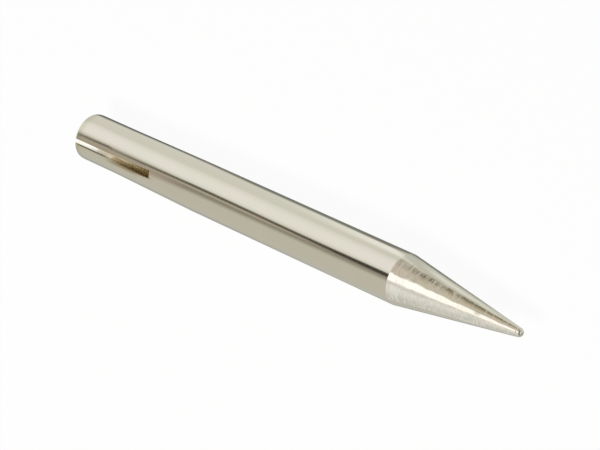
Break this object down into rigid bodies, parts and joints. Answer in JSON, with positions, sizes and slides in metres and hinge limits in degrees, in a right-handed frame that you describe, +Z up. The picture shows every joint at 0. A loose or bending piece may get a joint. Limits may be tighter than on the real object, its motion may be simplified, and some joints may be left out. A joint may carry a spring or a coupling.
{
  "type": "soldering iron tip",
  "caption": "Slide-on soldering iron tip: round nickel-plated shank, bored and slit at the back to grip a heater tube, with a long conical point.",
  "frame": {"origin": "on the plane that the shank lies on, under the middle of the tip's length", "axes": "+X along the tip's axis, towards its point; +Z up from the surface that it lies on, and out of the slot"},
  "size_m": [0.0562, 0.005, 0.005],
  "materials": {
    "nickel_plate": "bright nickel over copper, with fine turning marks on the cone"
  },
  "bodies": {
    "root": {"soldering_tip": "nickel_plate"}
  },
  "joints": []
}
